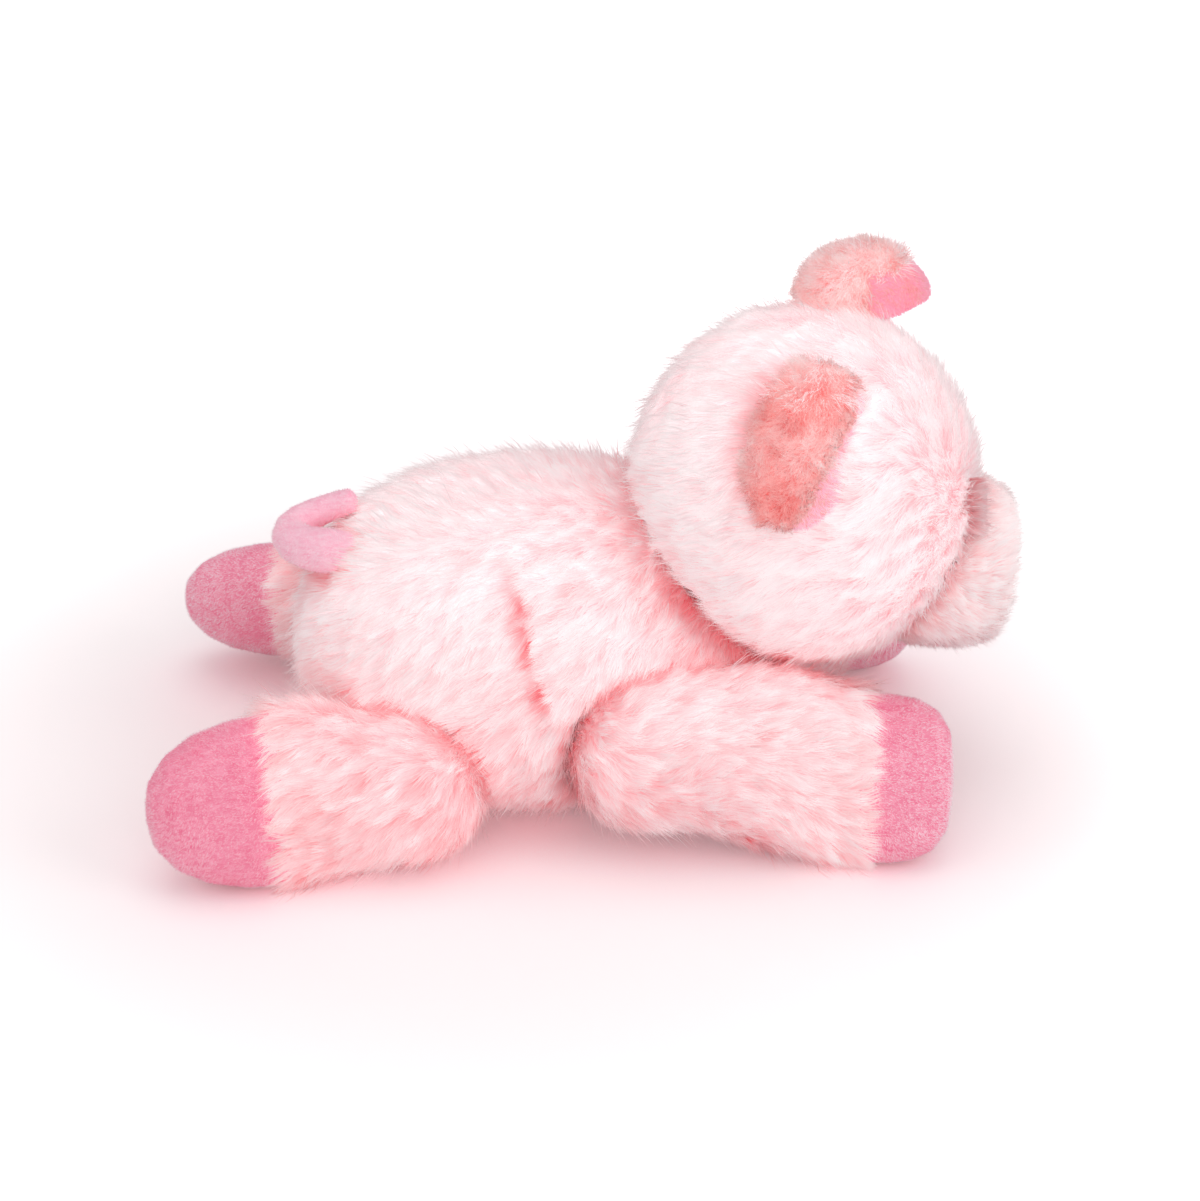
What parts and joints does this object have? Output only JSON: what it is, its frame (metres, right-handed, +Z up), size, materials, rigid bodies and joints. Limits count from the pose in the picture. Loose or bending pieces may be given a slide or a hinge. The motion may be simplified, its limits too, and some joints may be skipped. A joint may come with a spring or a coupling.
{
  "type": "plush pig",
  "caption": "Plush pig lying on its belly, with fur covers over stuffing, velvet hooves, a short snout, cupped ears and a curled tail; its head, legs, ears and tail turn.",
  "frame": {"origin": "on the flat of the belly that the pig lies on, midway between its left and right side", "axes": "+Z up, -Y the way the pig faces, +X to the pig's own left side"},
  "size_m": [0.1496, 0.2533, 0.1547],
  "materials": {
    "pale_pink_fur": "long soft pile",
    "coral_fur": "curly short pile",
    "pink_velvet": "short nap",
    "snout_velvet": "short nap",
    "white_stuffing": "loose fibre",
    "black_plastic": "glossy",
    "white_plastic": "satin"
  },
  "bodies": {
    "torso": {"torso_cover": "pale_pink_fur", "torso_filling": "white_stuffing"},
    "head": {"head_cover": "pale_pink_fur", "head_filling": "white_stuffing", "muzzle_cover": "pale_pink_fur", "muzzle_filling": "white_stuffing", "snout_pad": "snout_velvet", "left_eye": "black_plastic", "right_eye": "black_plastic", "left_eye_washer": "white_plastic", "right_eye_washer": "white_plastic"},
    "left_ear": {"left_ear_back": "coral_fur", "left_ear_lining": "pink_velvet"},
    "right_ear": {"right_ear_back": "coral_fur", "right_ear_lining": "pink_velvet"},
    "tail": {"tail_cover": "pink_velvet", "tail_filling": "white_stuffing"},
    "front_left_leg": {"front_left_leg_sleeve": "pale_pink_fur", "front_left_hoof": "pink_velvet", "front_left_leg_filling": "white_stuffing"},
    "front_right_leg": {"front_right_leg_sleeve": "pale_pink_fur", "front_right_hoof": "pink_velvet", "front_right_leg_filling": "white_stuffing"},
    "hind_left_leg": {"hind_left_leg_sleeve": "pale_pink_fur", "hind_left_hoof": "pink_velvet", "hind_left_leg_filling": "white_stuffing"},
    "hind_right_leg": {"hind_right_leg_sleeve": "pale_pink_fur", "hind_right_hoof": "pink_velvet", "hind_right_leg_filling": "white_stuffing"}
  },
  "joints": [
    {"name": "neck_turn", "type": "hinge", "parent": "torso", "child": "head", "pos_m": [0, -0.05989, 0.06816], "axis": [0, -0.7349, 0.6782], "range_deg": [-20, 20], "stiffness_Nm_per_rad": 0.15},
    {"name": "front_left_leg_swing", "type": "hinge", "parent": "torso", "child": "front_left_leg", "pos_m": [0.0416, -0.0406, 0.0315], "axis": [0, 0, 1], "range_deg": [0, 30], "stiffness_Nm_per_rad": 0.05},
    {"name": "front_right_leg_swing", "type": "hinge", "parent": "torso", "child": "front_right_leg", "pos_m": [-0.0416, -0.0406, 0.0315], "axis": [0, 0, -1], "range_deg": [0, 30], "stiffness_Nm_per_rad": 0.05},
    {"name": "hind_left_leg_swing", "type": "hinge", "parent": "torso", "child": "hind_left_leg", "pos_m": [0.0468, 0.029, 0.022], "axis": [0, 0, -1], "range_deg": [0, 30], "stiffness_Nm_per_rad": 0.05},
    {"name": "hind_right_leg_swing", "type": "hinge", "parent": "torso", "child": "hind_right_leg", "pos_m": [-0.0468, 0.029, 0.022], "axis": [0, 0, 1], "range_deg": [0, 30], "stiffness_Nm_per_rad": 0.05},
    {"name": "left_ear_fold", "type": "hinge", "parent": "head", "child": "left_ear", "pos_m": [0.02239, -0.09134, 0.13995], "axis": [-0.8447, -0.4264, -0.3235], "range_deg": [-15, 25], "stiffness_Nm_per_rad": 0.02},
    {"name": "right_ear_fold", "type": "hinge", "parent": "head", "child": "right_ear", "pos_m": [-0.02239, -0.09134, 0.13995], "axis": [0.2052, 0.9467, 0.2485], "range_deg": [0, 40], "stiffness_Nm_per_rad": 0.02},
    {"name": "tail_lift", "type": "hinge", "parent": "torso", "child": "tail", "pos_m": [0, 0.03335, 0.08908], "axis": [1, 0, 0], "range_deg": [0, 30], "stiffness_Nm_per_rad": 0.01}
  ]
}
